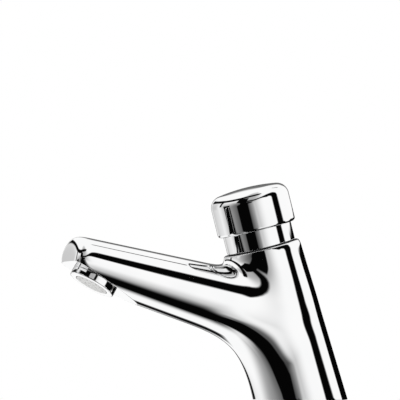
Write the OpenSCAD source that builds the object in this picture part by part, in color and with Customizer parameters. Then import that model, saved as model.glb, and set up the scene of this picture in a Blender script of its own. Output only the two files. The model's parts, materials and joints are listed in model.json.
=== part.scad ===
// Push timed tap: leaning round body with a slanted spout, neck collar, domed push button,
// threaded tail with its fixings, dashpot cartridge inside and an aerator under the nose.
// Origin: centre of the base on the deck. +Z up, the spout points to -X. Millimetres.

/* [Barrel] */
// Lean of the barrel and button axis towards the spout, degrees
lean = 15.3; // [14.8:0.1:15.8]
// Barrel radius where its axis meets the deck
base_r = 24.95; // [24.6:0.05:25.4]
// Barrel radius at the rim
rim_r = 20.8; // [20.6:0.05:21.2]
// Offset of the barrel's skin from its bores, away from the spout
barrel_x = 0.4; // [0:0.05:0.5]
// Rim height along the leaning axis
rim_s = 85; // [84:0.5:86]

/* [Spout] */
// Point on the spout axis inside the barrel, distance ahead of the origin
spout_x = 19.3; // [18.8:0.05:19.8]
// Height of that point
spout_z = 46.45; // [46:0.05:46.9]
// Rise of the spout axis, degrees
spout_rise = 14.25; // [13.8:0.05:14.8]
// Half height of the spout section at its root
root_h = 20.05; // [19.6:0.05:20.5]
// Half height of the spout section near the nose
tip_h = 11.85; // [11.6:0.05:12.2]
// Half width of the spout section at its root
root_w = 20.2; // [19.8:0.05:20.6]
// Half width of the spout section near the nose
tip_w = 15.35; // [15:0.05:15.8]
// Blend between the barrel and the underside of the spout
under_blend = 33.75; // [32:0.25:36]
// Blend between the barrel and the top of the spout
top_blend = 15.8; // [14:0.1:17]
// Blend between the barrel and the sides of the spout
side_blend = 6.5; // [5.5:0.1:7.5]
// Distance of the nose ahead of the origin
nose_x = 133.7; // [133.4:0.05:134.2]

/* [Outlet] */
// Distance of the outlet centre ahead of the origin
outlet_x = 118.5; // [118:0.1:119]
// Height of the outlet's spot face
outlet_z = 64; // [63.7:0.1:64.3]
// Forward tilt of the outlet, degrees
outlet_tilt = 30; // [29:0.5:31]
// Outer radius of the aerator housing
aerator_r = 12.5; // [12.3:0.1:12.7]
// Height of the aerator housing below the spot face
aerator_h = 3.9; // [3.7:0.1:4.4]

/* [Button] */
// Radius of the button
button_r = 21.45; // [21.2:0.05:21.8]
// Height of the button
button_h = 23.2; // [22.8:0.1:24]
// Radius of the button's dome
dome_r = 96; // [80:1:120]
// Rounding of the button's upper edge
button_round = 6.5; // [5:0.1:6.6]
// Radius of the neck collar
neck_r = 18.75; // [18.5:0.05:18.9]
// Length of bare neck between rim and button
neck_h = 10.35; // [9.5:0.05:11]
// Travel of the button
stroke = 7; // [6:0.5:7]

/* [Fixing] */
// Radius of the tail thread
tail_r = 10.478; // [10.4:0.001:10.6]
// Length of the tail below the deck
tail_len = 56; // [52:1:64]
// Deck thickness the fixings are drawn for
deck_t = 20; // [14:1:20]

/* [Hidden] */
$fn = 96;
bite = 1;
air = 0.05;
slide_gap = 0.3;
shaft_gap = 0.06;
chrome_tone = [0.80, 0.82, 0.84];
brass_tone = [0.80, 0.64, 0.32];
steel_tone = [0.62, 0.63, 0.65];
rubber_tone = [0.09, 0.09, 0.10];
red_rubber_tone = [0.45, 0.12, 0.10];
white_tone = [0.90, 0.90, 0.88];
blue_tone = [0.25, 0.40, 0.62];

// spout section and nose
spout_len = 112;
spout_power = 1.93;
nose_tilt = 8.3;
nose_rise = 8;
nose_blend = 10.5;
blend_from = -10.9;
blend_span = 13.5;
side_from = 11.3;
side_span = 19;
root_from = 4.3;
root_draw = 21.8;
spout_d = [-cos(spout_rise), 0, sin(spout_rise)];
spout_v = [sin(spout_rise), 0, cos(spout_rise)];
spout_o = [-spout_x, 0, spout_z];
barrel_b = [-sin(lean), 0, cos(lean)];
nose_n = [-cos(nose_tilt), 0, sin(nose_tilt)];
nose_o = [-nose_x, 0, outlet_z + nose_rise];

// skin of the casting: rays from the spout axis, run past the rim and the deck
skin_over = 8;
ray_hub = -6;
ray_lift = 34;
lift_span = 50;
ray_tip = 100;
ray_far = 90;
ray_steps = 24;
around = 52;
nose_rings = 9;
spout_rings = 14;
barrel_rings = 42;
root_angle = 28;
ring_crowd = 1.4;

// levels and radii of the bores, along the leaning axis
cart_top = rim_s - 13;
part_top = cart_top - 34;
part_bottom = cart_top - 40;
chamber_s = cart_top - 58;
head_r = 16;
main_r = 14.5;
nose_bore_r = 11.6;
chamber_r = 17;
rim_cut_r = 28;
rim_cut_h = 14;
deck_cut = 60;
deck_cut_h = 20;
tail_hole = 9.5;
inlet_r = 7;
inlet_top = 22;
groove_ro = 20.5;
groove_ri = 15.5;
groove_h = 3;
flat_r = 40;
flat_h = 30;
socket_r = 11;
socket_h = 9;
way_r0 = 13;
way_r1 = 8.5;
way_u0 = 2;
way_u1 = 97;

// cartridge sleeve
sleeve_gap = 0.2;
sleeve_flange_r = main_r - sleeve_gap;
sleeve_nose_r = nose_bore_r - 0.1;
sleeve_nose_s = part_bottom + 0.5;
sleeve_r = 12.5;
sleeve_in_r = 10;
sleeve_low_flange = 3;
sleeve_top_flange = 6;
seat_floor = part_top - 1;
seat_r = 4.8;
seat_lip_r = 6.3;
seat_lip_h = 0.8;
seat_s = sleeve_nose_s - seat_lip_h;
port_r = 3;
port_s = part_top + 6.5;
port_len = 40;
timing_w = 0.8;
timing_h = 9;
ring_w = 0.85;
ring_slot = 2.4;
ring_depth = 1.7;
nose_ring_s = part_bottom + 3;
sleeve_ring_s = cart_top - 3;

// piston, spring and valve
spring_washer_t = 1.2;
spring_washer_ri = 6.2;
piston_s = part_top + 17;
piston_h = 6;
piston_r = sleeve_in_r - slide_gap;
piston_slot_s = piston_s + 2;
piston_slot_h = 2.8;
piston_slot_r = 7.6;
lip_depth = 1.2;
lip_mid_r0 = 8.2;
lip_mid_r1 = 9.1;
wire_r = 0.65;
spring_r = 7.6;
spring_turns = 5.5;
spring_end_pitch = 1.8;
spring_per_turn = 8;
spring_sides = 6;
spring_least_gap = 0.4;
circlip_t = 0.9;
circlip_r = 4.6;
circlip_slot_r = 2.4;
circlip_open = 2;
valve_t = 2.45;
valve_r = 7.4;
valve_top = seat_s - air;
holder_r = 8.3;
holder_lip = 1.4;
holder_base = 2.8;
valve_nut_h = 3;
valve_nut_af = 7;

// stem, stepped from the valve to the button
stem_r = 4;
stem_piston_r = 3;
stem_rod_r = 2.5;
stem_valve_r = 2;
stem_top_r = 3;
stem_end_s = valve_top - valve_t - holder_base - valve_nut_h - 0.8;
stem_rod_s = valve_top - 0.6;
stem_piston_s = piston_s - 4;
stem_shoulder_s = piston_s + piston_h + air;

// gland, collar and button
gland_s = cart_top - 6;
gland_flange_h = 3;
gland_r = sleeve_in_r - 0.05;
gland_tower_r = 7;
gland_tower_h = 13;
gland_ring_s = gland_s + 3;
stem_ring_r = stem_r + slide_gap + ring_w;
stem_ring_slot_r = 6.05;
button_s = rim_s + neck_h;
button_top = button_s + button_h;
button_ceiling = button_top - 6.15;
skirt_r = neck_r + 0.4;
skirt_edge = 1.6;
boss_r = 6;
boss_s = button_ceiling - 7.9;
boss_hole_top = button_ceiling + 0.6;
lock_nut_h = 3;
lock_nut_af = 10;
stem_neck_s = boss_s - 6.5;
collar_gasket_t = 0.8;
collar_spigot_r = head_r - 0.05;
collar_spigot_s = cart_top + gland_flange_h;
collar_bore_r = 12.5;
collar_top = button_ceiling - stroke - slide_gap;
collar_gasket_ri = 16.2;
collar_gasket_ro = 18.2;
collar_slot_w = 5;
collar_slot_h = 3;
guide_h = 3;
guide_s = collar_top - 6.5;
guide_root_r = 17.6;
guide_r = skirt_r - slide_gap;

// tail and deck fixings
tail_top = tail_hole - 1.5;
tail_bore_r = 7;
tail_end_chamfer = 1;
tail_relief_r = 9.4;
tail_relief_h = 2;
tail_groove_r = tail_r - 0.9;
tail_groove_w = 1.6;
tail_rib_step = 3.2;
gasket_t = 3;
gasket_r = 19;
washer_t = 2;
washer_r = 19.5;
washer_bore_r = 10.8;
nut_h = 9;
nut_af = 30;
nut_round_r = 16.6;
nut_s = -deck_t - gasket_t - washer_t - nut_h;
tail_relief_s = nut_s - 1 - tail_relief_h;
strainer_flange_r = 8.5;
strainer_flange_h = 1.5;
strainer_r = 6.3;
strainer_wall = 0.7;
strainer_h = 18;
strainer_slots = 4;
strainer_slot_w = 1.6;
strainer_slot_h = 10;
strainer_slot_s = 5;
strainer_gap = 0.1;

// aerator, measured from the spot face outwards
thread_r = socket_r - 0.05;
thread_in = 7.5;
housing_bore_r = 9.6;
housing_lip_r = 8.8;
housing_lip_s = aerator_h - 1.2;
housing_edge = 0.5;
insert_r = 9.5;
insert_face_r = housing_lip_r - 0.2;
insert_out = 0.5;
insert_s = -2;
insert_holes = [[3.4, 8], [6.9, 16]];
insert_hole_r = 0.6;
screen_t = 0.55;
screen_holes = [[2.4, 6], [5.0, 12], [7.6, 18]];
screen_hole_r = 0.7;
regulator_h = 2.9;
regulator_holes = 6;
regulator_hole_r = 1.1;
regulator_hole_at = 5.5;
regulator_dish_r = 7.4;
regulator_dish_h = 1.1;
aerator_gasket_ri = 8;
aerator_gasket_ro = 10.8;

// Blended distance functions of the casting
function smin(a, b, k) =
    let (h = max(k - abs(a - b), 0) / k)
    min(a, b) - h * h * h * k / 6;

function smax(a, b, k) = -smin(-a, -b, k);

function ease(x) =
    let (c = min(max(x, 0), 1))
    c * c * c * (c * (6 * c - 15) + 10);

function barrel_at(p) =
    let (
        q = p - [barrel_x, 0, 0],
        s = q * barrel_b
    )
    max(
        norm(q - s * barrel_b) - base_r - (rim_r - base_r) * s / rim_s,
        s - rim_s - skin_over
    );

// Spout, whose section draws in behind root_from, inside the barrel
function spout_at(p, u, v) =
    let (
        part = u / spout_len,
        h = root_h + (tip_h - root_h) * part,
        w = root_w + (tip_w - root_w) * part,
        y = abs(p[1]) + 0.000001,
        z = abs(v) + 0.000001,
        n = spout_power,
        k = pow(pow(y / w, n) + pow(z / h, n), 1 / n),
        gy = pow(y, n - 1) / pow(w, n),
        gz = pow(z, n - 1) / pow(h, n),
        g = pow(k, 1 - n) * sqrt(gy * gy + gz * gz),
        back = max(root_from - u, 0)
    )
    smax((k - 1) / g, (p - nose_o) * nose_n, nose_blend) + pow(back, 3) / (3 * root_draw * root_draw);

// The blend is wide below the spout, narrower above it and narrowest beside it
function skin_at(p) =
    let (
        q = p - spout_o,
        u = q * spout_d,
        v = q * spout_v,
        mid = under_blend + (top_blend - under_blend) * ease((v - blend_from) / blend_span),
        k = mid + (side_blend - mid) * ease((abs(p[1]) - side_from) / side_span)
    )
    max(smin(barrel_at(p), spout_at(p, u, v), k), -p[2] - skin_over);

function ray_hit(o, d, lo, hi, steps) =
    let (mid = (lo + hi) / 2)
    steps == 0 ? o + mid * d
    : skin_at(o + mid * d) < 0 ? ray_hit(o, d, mid, hi, steps - 1)
    : ray_hit(o, d, lo, mid, steps - 1);

function ray_dir(a, f) =
    cos(a) * spout_d + sin(a) * (cos(f) * spout_v + sin(f) * [0, 1, 0]);

// Each ring of rays: where it starts along the spout axis, and its angle to that axis
function ray_rings() = concat(
    [for (i = [1 : nose_rings]) [ray_tip, 90 * i / nose_rings]],
    [for (i = [1 : spout_rings])
        [
            ray_tip + (ray_hub - ray_tip) * i / spout_rings,
            90 + (root_angle - 90) * i / spout_rings
        ]
    ],
    [for (i = [1 : barrel_rings - 1])
        [ray_hub, root_angle + (180 - root_angle) * pow(i / barrel_rings, ring_crowd)]
    ]
);

// In the barrel the rays also spread along its axis, so that they meet its wall less slantwise
function ray_from(r, d) =
    spout_o + r[0] * spout_d
    + (r[0] == ray_hub ? ray_lift * ease((r[1] - root_angle) / lift_span) * (d * barrel_b) : 0) * barrel_b;

function skin_ray(r, f) =
    let (d = ray_dir(r[1], f))
    ray_hit(ray_from(r, d), d, 0, ray_far, ray_steps);

module skin() {
    rings = ray_rings();
    count = len(rings);
    points = concat(
        [for (r = rings)
            for (j = [0 : around - 1])
                skin_ray(r, 360 * j / around)
        ],
        [skin_ray([ray_tip, 0], 0)],
        [skin_ray([ray_hub, 180], 0)]
    );
    front = count * around;
    back = front + 1;
    last = (count - 1) * around;
    faces = concat(
        [for (j = [0 : around - 1]) [front, (j + 1) % around, j]],
        [for (i = [0 : count - 2])
            for (j = [0 : around - 1])
                [i * around + j, i * around + (j + 1) % around, (i + 1) * around + j]
        ],
        [for (i = [0 : count - 2])
            for (j = [0 : around - 1])
                [i * around + (j + 1) % around, (i + 1) * around + (j + 1) % around, (i + 1) * around + j]
        ],
        [for (j = [0 : around - 1]) [back, last + j, last + (j + 1) % around]]
    );
    polyhedron(points = points, faces = faces);
}

// Frames and small forms
module on_axis() {
    rotate([0, -lean, 0]) children();
}

module on_spout() {
    translate(spout_o) rotate([0, spout_rise - 90, 0]) children();
}

module on_outlet() {
    translate([-outlet_x, 0, outlet_z]) rotate([0, 180 + outlet_tilt, 0]) children();
}

module rod(r, z0, z1) {
    translate([0, 0, z0]) cylinder(r = r, h = z1 - z0);
}

module ring(ro, ri, z0, z1) {
    difference() {
        rod(ro, z0, z1);
        rod(ri, z0 - bite, z1 + bite);
    }
}

module o_ring(r, w, z) {
    translate([0, 0, z]) rotate_extrude() translate([r, 0]) circle(r = w, $fn = 32);
}

module hex_rod(af, z0, z1) {
    translate([0, 0, z0]) cylinder(r = af / sqrt(3), h = z1 - z0, $fn = 6);
}

module hole_circle(at, count, r, z0, z1) {
    for (i = [0 : count - 1])
        rotate([0, 0, 360 * i / count]) translate([at, 0, 0]) rod(r, z0, z1);
}

// Casting: barrel and spout in one, bored for the tail, the cartridge, the waterway and the outlet
module body() {
    color(chrome_tone)
    difference() {
        skin();
        on_axis() rod(rim_cut_r, rim_s, rim_s + rim_cut_h);
        translate([-deck_cut, -deck_cut, -deck_cut_h]) cube([2 * deck_cut, 2 * deck_cut, deck_cut_h]);
        on_outlet() rod(flat_r, 0, flat_h);
        on_axis() rod(head_r, cart_top, rim_s + bite);
        on_axis() rod(main_r, part_top, cart_top + bite);
        on_axis() rod(nose_bore_r, part_bottom - bite, part_top + bite);
        on_axis() rod(chamber_r, chamber_s, part_bottom);
        rod(tail_r + air, -bite, tail_hole);
        rod(inlet_r, tail_hole - bite, inlet_top);
        ring(groove_ro, groove_ri, -bite, groove_h);
        on_spout() translate([0, 0, way_u0]) cylinder(r1 = way_r0, r2 = way_r1, h = way_u1 - way_u0);
        on_outlet() rod(socket_r, -socket_h, bite);
    }
}

module base_seal() {
    color(rubber_tone) ring(groove_ro - air, groove_ri + air, 0, groove_h - air);
}

module tail() {
    color(brass_tone)
    difference() {
        union() {
            rod(tail_r, -tail_len + tail_end_chamfer, tail_top);
            translate([0, 0, -tail_len])
                cylinder(r1 = tail_r - tail_end_chamfer, r2 = tail_r, h = tail_end_chamfer);
        }
        rod(tail_bore_r, -tail_len - bite, tail_top + bite);
        rod(strainer_flange_r + air, -tail_len - bite, -tail_len + strainer_flange_h);
        ring(tail_r + bite, tail_relief_r, tail_relief_s, tail_relief_s + tail_relief_h);
        for (i = [1 : floor((deck_t - tail_groove_w) / tail_rib_step)])
            ring(tail_r + bite, tail_groove_r, -i * tail_rib_step, tail_groove_w - i * tail_rib_step);
    }
}

module tail_seal() {
    color(red_rubber_tone) ring(tail_r - 0.2, inlet_r + 0.2, tail_top + air, tail_hole - air);
}

module inlet_strainer() {
    low = -tail_len;
    color(steel_tone)
    difference() {
        union() {
            rod(strainer_flange_r, low, low + strainer_flange_h - strainer_gap);
            rod(strainer_r, low + strainer_wall, low + strainer_h);
        }
        rod(strainer_r - strainer_wall, low - bite, low + strainer_h - strainer_wall);
        for (i = [0 : strainer_slots - 1])
            rotate([0, 0, 180 * i / strainer_slots])
                translate([-tail_bore_r, -strainer_slot_w / 2, low + strainer_slot_s])
                    cube([2 * tail_bore_r, strainer_slot_w, strainer_slot_h]);
    }
}

module clamp_gasket() {
    color(rubber_tone) ring(gasket_r, washer_bore_r, -deck_t - gasket_t, -deck_t);
}

module clamp_washer() {
    low = -deck_t - gasket_t - washer_t;
    color(steel_tone) ring(washer_r, washer_bore_r, low, low + washer_t);
}

module back_nut() {
    color(brass_tone)
    difference() {
        intersection() {
            hex_rod(nut_af, nut_s, nut_s + nut_h);
            rod(nut_round_r, nut_s - bite, nut_s + nut_h + bite);
        }
        rod(tail_r + air, nut_s - bite, nut_s + nut_h + bite);
    }
}

// Cartridge
module cartridge_sleeve() {
    color(brass_tone)
    on_axis()
    difference() {
        union() {
            rod(seat_lip_r, seat_s, sleeve_nose_s + bite);
            rod(sleeve_nose_r, sleeve_nose_s, part_top + bite);
            rod(sleeve_flange_r, part_top, part_top + sleeve_low_flange);
            rod(sleeve_r, part_top + sleeve_low_flange - bite, cart_top - sleeve_top_flange + bite);
            rod(sleeve_flange_r, cart_top - sleeve_top_flange, cart_top);
        }
        rod(seat_r, seat_s - bite, seat_floor + bite);
        rod(sleeve_in_r, seat_floor, cart_top + bite);
        ring(sleeve_nose_r + bite, nose_bore_r - ring_depth,
            nose_ring_s - ring_slot / 2, nose_ring_s + ring_slot / 2);
        ring(sleeve_flange_r + bite, main_r - ring_depth,
            sleeve_ring_s - ring_slot / 2, sleeve_ring_s + ring_slot / 2);
        for (a = [45, 135])
            rotate([0, 0, a]) translate([0, 0, port_s]) rotate([90, 0, 0])
                cylinder(r = port_r, h = port_len, center = true);
        translate([sleeve_in_r - timing_w / 2, -timing_w / 2, piston_s + 1])
            cube([timing_w, timing_w, timing_h]);
    }
}

module nose_o_ring() {
    color(rubber_tone) on_axis() o_ring(nose_bore_r - air - ring_w, ring_w - air, nose_ring_s);
}

module sleeve_o_ring() {
    color(rubber_tone) on_axis() o_ring(main_r - air - ring_w, ring_w - air, sleeve_ring_s);
}

module spring_washer() {
    color(steel_tone)
    on_axis() ring(sleeve_in_r - 0.2, spring_washer_ri, seat_floor, seat_floor + spring_washer_t);
}

// Return spring, one tube along a helix between the spring washer and the piston
function spring_low() = seat_floor + spring_washer_t + wire_r + air;

function spring_high() = piston_s - wire_r - air;

function spring_z(t) =
    let (
        mid_turns = spring_turns - 2,
        mid_rise = spring_high() - spring_low() - 2 * spring_end_pitch
    )
    t < 1 ? spring_low() + t * spring_end_pitch
    : t > spring_turns - 1 ? spring_high() - (spring_turns - t) * spring_end_pitch
    : spring_low() + spring_end_pitch + (t - 1) / mid_turns * mid_rise;

function spring_mid(t) = [spring_r * cos(360 * t), spring_r * sin(360 * t), spring_z(t)];

function spring_point(t, a) = spring_mid(t)
    + wire_r * cos(a) * [cos(360 * t), sin(360 * t), 0]
    + wire_r * sin(a) * [0, 0, 1];

module return_spring() {
    rings = round(spring_turns * spring_per_turn);
    turns = [for (i = [0 : rings]) i * spring_turns / rings];
    mids = [for (t = turns) spring_mid(t)];
    least = min([for (i = [0 : rings])
        for (j = [i + spring_per_turn / 2 : 1 : rings])
            norm(mids[i] - mids[j]) - 2 * wire_r]);
    echo(spring_self_gap = least, enough = least > spring_least_gap);
    points = [for (t = turns)
        for (k = [0 : spring_sides - 1]) spring_point(t, 360 * k / spring_sides)];
    tube = [for (i = [0 : rings - 1])
        for (k = [0 : spring_sides - 1])
            for (half = [0, 1])
                half == 0
                ? [
                    i * spring_sides + k,
                    i * spring_sides + (k + 1) % spring_sides,
                    (i + 1) * spring_sides + k
                ]
                : [
                    i * spring_sides + (k + 1) % spring_sides,
                    (i + 1) * spring_sides + (k + 1) % spring_sides,
                    (i + 1) * spring_sides + k
                ]
    ];
    first = [[for (k = [0 : spring_sides - 1]) spring_sides - 1 - k]];
    end = [[for (k = [0 : spring_sides - 1]) rings * spring_sides + k]];
    color(steel_tone) on_axis() polyhedron(points = points, faces = concat(first, tube, end));
}

module gland_bush() {
    color(white_tone)
    on_axis()
    difference() {
        union() {
            rod(gland_r, gland_s, cart_top + bite);
            rod(sleeve_flange_r, cart_top, cart_top + gland_flange_h);
            rod(gland_tower_r, cart_top + gland_flange_h - bite, cart_top + gland_flange_h + gland_tower_h);
        }
        rod(stem_r + shaft_gap, gland_s - bite, cart_top + gland_flange_h + gland_tower_h + bite);
        ring(gland_r + bite, sleeve_in_r - ring_depth,
            gland_ring_s - ring_slot / 2, gland_ring_s + ring_slot / 2);
        rod(stem_ring_slot_r, cart_top + bite - ring_slot / 2, cart_top + bite + ring_slot / 2);
    }
}

module gland_o_ring() {
    color(rubber_tone) on_axis() o_ring(sleeve_in_r - air - ring_w, ring_w - air, gland_ring_s);
}

module stem_o_ring() {
    color(rubber_tone) on_axis() o_ring(stem_ring_r, ring_w - air, cart_top + bite);
}

// Collar: the bare neck, screwed into the rim
module collar() {
    color(chrome_tone)
    on_axis()
    difference() {
        union() {
            rod(collar_spigot_r, collar_spigot_s, rim_s + collar_gasket_t + bite);
            rod(neck_r, rim_s + collar_gasket_t, collar_top);
        }
        rod(collar_bore_r, collar_spigot_s - bite, collar_top + bite);
        ring(neck_r + bite, guide_root_r, guide_s, guide_s + guide_h);
        translate([-2 * neck_r, -collar_slot_w / 2, collar_top - collar_slot_h])
            cube([4 * neck_r, collar_slot_w, collar_slot_h + bite]);
    }
}

module collar_gasket() {
    color(rubber_tone)
    on_axis() ring(collar_gasket_ro, collar_gasket_ri, rim_s, rim_s + collar_gasket_t);
}

module guide_ring() {
    color(white_tone) on_axis() ring(guide_r, guide_root_r + air, guide_s + air, guide_s + guide_h - air);
}

// Aerator
module aerator_housing() {
    color(chrome_tone)
    on_outlet()
    difference() {
        rotate_extrude()
            polygon([
                [0, -thread_in], [thread_r, -thread_in], [thread_r, 0], [aerator_r - housing_edge, 0],
                [aerator_r, housing_edge], [aerator_r, aerator_h - housing_edge],
                [aerator_r - housing_edge, aerator_h], [0, aerator_h]
            ]);
        rod(housing_bore_r, -thread_in - bite, housing_lip_s);
        rod(housing_lip_r, housing_lip_s - bite, aerator_h + bite);
    }
}

module aerator_gasket() {
    color(red_rubber_tone)
    on_outlet() ring(aerator_gasket_ro, aerator_gasket_ri, -socket_h, -thread_in - air);
}

module flow_regulator() {
    top = insert_s - screen_t - 2 * air;
    color(blue_tone)
    on_outlet()
    difference() {
        rod(insert_r, top - regulator_h, top);
        rod(regulator_dish_r, top - regulator_h - bite, top - regulator_h + regulator_dish_h);
        hole_circle(regulator_hole_at, regulator_holes, regulator_hole_r, top - regulator_h, top + bite);
    }
}

module aerator_screen() {
    top = insert_s - air;
    color(steel_tone)
    on_outlet()
    difference() {
        rod(insert_r, top - screen_t, top);
        for (c = screen_holes)
            hole_circle(c[0], c[1], screen_hole_r, top - screen_t - bite, top + bite);
    }
}

module aerator_insert() {
    color(white_tone)
    on_outlet()
    difference() {
        union() {
            rod(insert_r, insert_s, housing_lip_s - air);
            rod(insert_face_r, insert_s + bite, aerator_h + insert_out);
        }
        for (c = insert_holes)
            hole_circle(c[0], c[1], insert_hole_r, insert_s - bite, aerator_h + insert_out + bite);
    }
}

// Button, a domed cap with a skirt over the neck and a boss on the stem
function arc(cr, cz, r, a0, a1, n) =
    [for (i = [0 : n]) let (a = a0 + (a1 - a0) * i / n) [cr + r * cos(a), cz + r * sin(a)]];

module push_button() {
    dome_z = button_top - dome_r;
    round_r = button_r - button_round;
    round_z = dome_z + sqrt(pow(dome_r - button_round, 2) - pow(round_r, 2));
    round_a = atan2(round_z - dome_z, round_r);
    outline = concat(
        [[0, button_s]],
        arc(button_r - skirt_edge, button_s + skirt_edge, skirt_edge, -90, 0, 5),
        arc(round_r, round_z, button_round, 0, round_a, 12),
        [for (i = [1 : 10]) let (a = round_a + (90 - round_a) * i / 10)
            [max(dome_r * cos(a), 0), dome_z + dome_r * sin(a)]]
    );
    color(chrome_tone)
    on_axis()
    difference() {
        rotate_extrude() polygon(outline);
        difference() {
            rod(skirt_r, button_s - bite, button_ceiling);
            rod(boss_r, boss_s, button_ceiling + bite);
        }
        rod(stem_top_r + air, boss_s - bite, boss_hole_top);
    }
}

module button_lock_nut() {
    color(steel_tone)
    on_axis()
    difference() {
        hex_rod(lock_nut_af, boss_s - lock_nut_h, boss_s - air);
        rod(stem_top_r + air, boss_s - lock_nut_h - bite, boss_s + bite);
    }
}

module push_stem() {
    color(steel_tone)
    on_axis()
    difference() {
        rotate_extrude()
            polygon([
                [0, stem_end_s], [stem_valve_r, stem_end_s], [stem_valve_r, stem_rod_s],
                [stem_rod_r, stem_rod_s], [stem_rod_r, stem_piston_s],
                [stem_piston_r, stem_piston_s], [stem_piston_r, stem_shoulder_s],
                [stem_r, stem_shoulder_s], [stem_r, stem_neck_s],
                [stem_top_r, stem_neck_s], [stem_top_r, boss_hole_top - air], [0, boss_hole_top - air]
            ]);
        ring(stem_r, circlip_slot_r, piston_s - circlip_t - air, piston_s - air);
    }
}

module piston() {
    color(white_tone)
    on_axis()
    difference() {
        rod(piston_r, piston_s, piston_s + piston_h);
        rod(stem_piston_r + air, piston_s - bite, piston_s + piston_h + bite);
        ring(piston_r + bite, piston_slot_r, piston_slot_s, piston_slot_s + piston_slot_h);
    }
}

module lip_seal() {
    color(rubber_tone)
    on_axis()
    difference() {
        ring(piston_r, piston_slot_r + air, piston_slot_s + air, piston_slot_s + piston_slot_h - air);
        ring(lip_mid_r1, lip_mid_r0,
            piston_slot_s + piston_slot_h - lip_depth, piston_slot_s + piston_slot_h);
    }
}

module piston_circlip() {
    color(steel_tone)
    on_axis()
    difference() {
        ring(circlip_r, circlip_slot_r + air, piston_s - circlip_t, piston_s - 2 * air);
        translate([0, -circlip_open / 2, piston_s - circlip_t - bite])
            cube([2 * circlip_r, circlip_open, circlip_t + 2 * bite]);
    }
}

// Valve
module valve_holder() {
    low = valve_top - valve_t - holder_base;
    color(brass_tone)
    on_axis()
    difference() {
        rod(holder_r, low, low + holder_base + holder_lip);
        rod(valve_r + air, low + holder_base, low + holder_base + holder_lip + bite);
        rod(stem_valve_r + air, low - bite, low + holder_base + bite);
    }
}

module valve_washer() {
    color(rubber_tone)
    on_axis() ring(valve_r, stem_rod_r + air, valve_top - valve_t + air, valve_top);
}

module valve_nut() {
    high = valve_top - valve_t - holder_base - air;
    color(steel_tone)
    on_axis()
    difference() {
        hex_rod(valve_nut_af, high - valve_nut_h, high);
        rod(stem_valve_r + air, high - valve_nut_h - bite, high + bite);
    }
}

body();
base_seal();
tail();
tail_seal();
inlet_strainer();
clamp_gasket();
clamp_washer();
back_nut();
cartridge_sleeve();
nose_o_ring();
sleeve_o_ring();
spring_washer();
gland_bush();
gland_o_ring();
stem_o_ring();
collar();
collar_gasket();
guide_ring();
aerator_housing();
aerator_gasket();
flow_regulator();
aerator_screen();
aerator_insert();
return_spring();
push_button();
button_lock_nut();
push_stem();
piston();
lip_seal();
piston_circlip();
valve_holder();
valve_washer();
valve_nut();
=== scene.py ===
import json
import math

import bmesh
import bpy
import numpy as np
from mathutils import Matrix, Vector


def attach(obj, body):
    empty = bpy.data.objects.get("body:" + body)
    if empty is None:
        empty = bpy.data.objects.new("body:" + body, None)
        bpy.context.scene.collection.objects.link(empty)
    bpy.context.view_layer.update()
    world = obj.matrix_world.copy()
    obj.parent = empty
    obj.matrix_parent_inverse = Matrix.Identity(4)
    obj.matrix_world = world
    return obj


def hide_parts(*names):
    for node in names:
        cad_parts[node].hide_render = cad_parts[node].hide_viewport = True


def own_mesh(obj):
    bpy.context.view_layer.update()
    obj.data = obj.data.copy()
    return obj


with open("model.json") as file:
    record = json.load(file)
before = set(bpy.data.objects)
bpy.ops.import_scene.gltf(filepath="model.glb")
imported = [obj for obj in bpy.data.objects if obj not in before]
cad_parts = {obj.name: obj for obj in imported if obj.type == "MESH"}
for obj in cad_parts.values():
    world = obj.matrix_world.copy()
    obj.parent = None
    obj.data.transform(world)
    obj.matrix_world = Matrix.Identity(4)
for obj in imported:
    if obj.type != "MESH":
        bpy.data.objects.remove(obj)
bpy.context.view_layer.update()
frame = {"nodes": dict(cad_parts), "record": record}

# Metres in a millimetre, clearance of a fit in millimetres, and a guard against dividing by zero
MM = 0.001
AIR = 0.05
TINY = 1e-6

# Casting: sizes in millimetres and degrees, as in the solid model
LEAN = 15.3
BASE_R = 24.95
RIM_R = 20.8
BARREL_X = 0.4
RIM_S = 85.0
SPOUT_X = 19.3
SPOUT_Z = 46.45
SPOUT_RISE = 14.25
SPOUT_LEN = 112.0
SPOUT_POWER = 1.93
ROOT_FROM = 4.3
ROOT_DRAW = 21.8
ROOT_H = 20.05
TIP_H = 11.85
ROOT_W = 20.2
TIP_W = 15.35
UNDER_BLEND = 33.75
TOP_BLEND = 15.8
SIDE_BLEND = 6.5
BLEND_FROM = -10.9
BLEND_SPAN = 13.5
SIDE_FROM = 11.3
SIDE_SPAN = 19.0
NOSE_X = 133.7
NOSE_TILT = 8.3
NOSE_RISE = 8.0
NOSE_BLEND = 10.5
OUTLET_X = 118.5
OUTLET_Z = 64.0
OUTLET_TILT = 30.0
SKIN_OVER = 8.0

# Bores and grooves of the casting
HEAD_R = 16.0
HEAD_DEPTH = 13.0
MAIN_R = 14.5
MAIN_DEPTH = 47.0
NOSE_BORE_R = 11.6
NOSE_BORE_DEPTH = 53.0
CHAMBER_R = 17.0
CHAMBER_DEPTH = 71.0
TAIL_HOLE = 9.5
INLET_R = 7.0
INLET_STEP = 12.0
INLET_TOP = 22.0
WAY_R = (13.0, 8.5)
WAY_U = (2.0, 97.0)
GROOVE_RO = 20.5
GROOVE_RI = 15.5
GROOVE_H = 3.0
SOCKET_R = 11.0
SOCKET_H = 9.0

# Edges of the casting, and the roll below its rim on the side away from the spout
RIM_EDGE = 0.45
BASE_EDGE = 0.3
FLAT_EDGE = 0.15
MOST_EDGE = 1.5
ROLL_H = 3.0
ROLL_R = 7.0
ROLL_FROM = -0.55
ROLL_SPAN = 0.8

# Limits that tell the skin's points near the rim, the deck and the outlet from the rest
NEAR_RIM_S = 70.0
NEAR_RIM_R = 28.0
NEAR_DECK_Z = 6.0
NEAR_OUTLET_X = -60.0

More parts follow.
